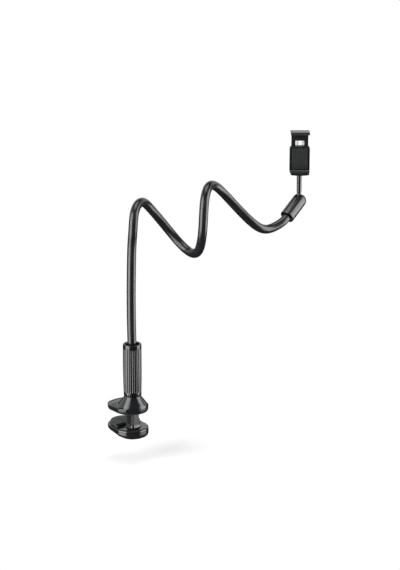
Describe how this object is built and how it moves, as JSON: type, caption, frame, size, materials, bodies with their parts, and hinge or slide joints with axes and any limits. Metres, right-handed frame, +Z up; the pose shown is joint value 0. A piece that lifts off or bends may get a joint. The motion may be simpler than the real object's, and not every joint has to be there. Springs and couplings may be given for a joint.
{
  "type": "gooseneck phone holder",
  "caption": "Phone holder for a table edge: screw clamp with a ribbed turning grip, bent flexible arm, ball joint with locking collar, and a sprung clamp for a phone.",
  "frame": {"origin": "on the axis of the clamp's post, in the plane of the table top, which is the underside of the foot's pad", "axes": "+Z up along the post; +X across to the side where the phone clamp stands; -Y towards the side that the phone faces. The clamp reaches over the table towards 127 degrees from +X."},
  "size_m": [0.3626, 0.1669, 0.5304],
  "materials": {
    "foot_abs": "semi-gloss moulded ABS, black",
    "grip_abs": "ribbed moulded ABS with a fine grain, black",
    "collar_abs": "satin moulded nylon, dark grey",
    "clamp_abs": "satin moulded ABS, black",
    "silicone": "matt silicone rubber, black",
    "sleeve_rubber": "satin extruded rubber sleeve, black",
    "post_zinc": "die-cast zinc, black powder coat",
    "stem_gloss": "turned steel, glossy black",
    "core_alloy": "drawn alloy rod",
    "steel": "zinc-plated steel",
    "spring_wire": "spring steel",
    "brass": "turned brass",
    "nylon": "natural nylon"
  },
  "bodies": {
    "table_base": {"clamp_foot": "foot_abs", "foot_pad": "silicone", "thrust_washer": "steel"},
    "grip": {"grip_sleeve": "grip_abs", "drive_nut": "brass"},
    "arm": {"lower_jaw": "foot_abs", "jaw_pad": "silicone", "clamp_post": "post_zinc", "post_bolt": "steel", "post_washer": "steel", "post_screws": "steel", "lower_ferrule": "steel", "gooseneck_sleeve": "sleeve_rubber", "gooseneck_core": "core_alloy", "upper_ferrule": "steel", "ball_seat": "nylon"},
    "collar": {"locking_collar": "collar_abs"},
    "ball": {"ball": "post_zinc"},
    "phone_clamp": {"ball_stem": "stem_gloss", "stem_insert": "brass", "clamp_housing": "clamp_abs", "front_cover": "clamp_abs", "front_pad": "silicone", "lower_jaw_pad": "silicone", "guide_rods": "steel", "spring_pins": "steel", "cover_screws": "steel", "springs": "spring_wire"},
    "slider": {"upper_jaw": "clamp_abs", "upper_jaw_pad": "silicone", "slider_pins": "steel"}
  },
  "joints": [
    {"name": "grip_turn", "type": "hinge", "parent": "table_base", "child": "grip", "pos_m": [0, 0, 0.0293], "axis": [0, 0, 1], "range_deg": [-880, 2050]},
    {"name": "post_slide", "type": "slide", "parent": "table_base", "child": "arm", "axis": [0, 0, 1], "range_m": [-0.0455, 0.0195]},
    {"name": "collar_turn", "type": "hinge", "parent": "arm", "child": "collar", "pos_m": [0.2984, 0.127, 0.3552], "axis": [0.5221, 0.6683, 0.5299], "continuous": true},
    {"name": "stem_tilt", "type": "hinge", "parent": "collar", "child": "ball", "pos_m": [0.2984, 0.127, 0.3552], "axis": [0.788, -0.6157, 0], "range_deg": [-68, 32]},
    {"name": "head_spin", "type": "hinge", "parent": "ball", "child": "phone_clamp", "pos_m": [0.2984, 0.127, 0.3552], "axis": [0, 0, 1], "continuous": true},
    {"name": "jaw_slide", "type": "slide", "parent": "phone_clamp", "child": "slider", "axis": [0, 0, 1], "range_m": [-0.0205, 0.02], "stiffness_N_per_m": 150, "springref_m": -0.06, "deforming": ["springs"]}
  ],
  "couplings": [
    {"joint": "grip_turn", "follows": "post_slide", "rad_per_m": -785.4}
  ]
}
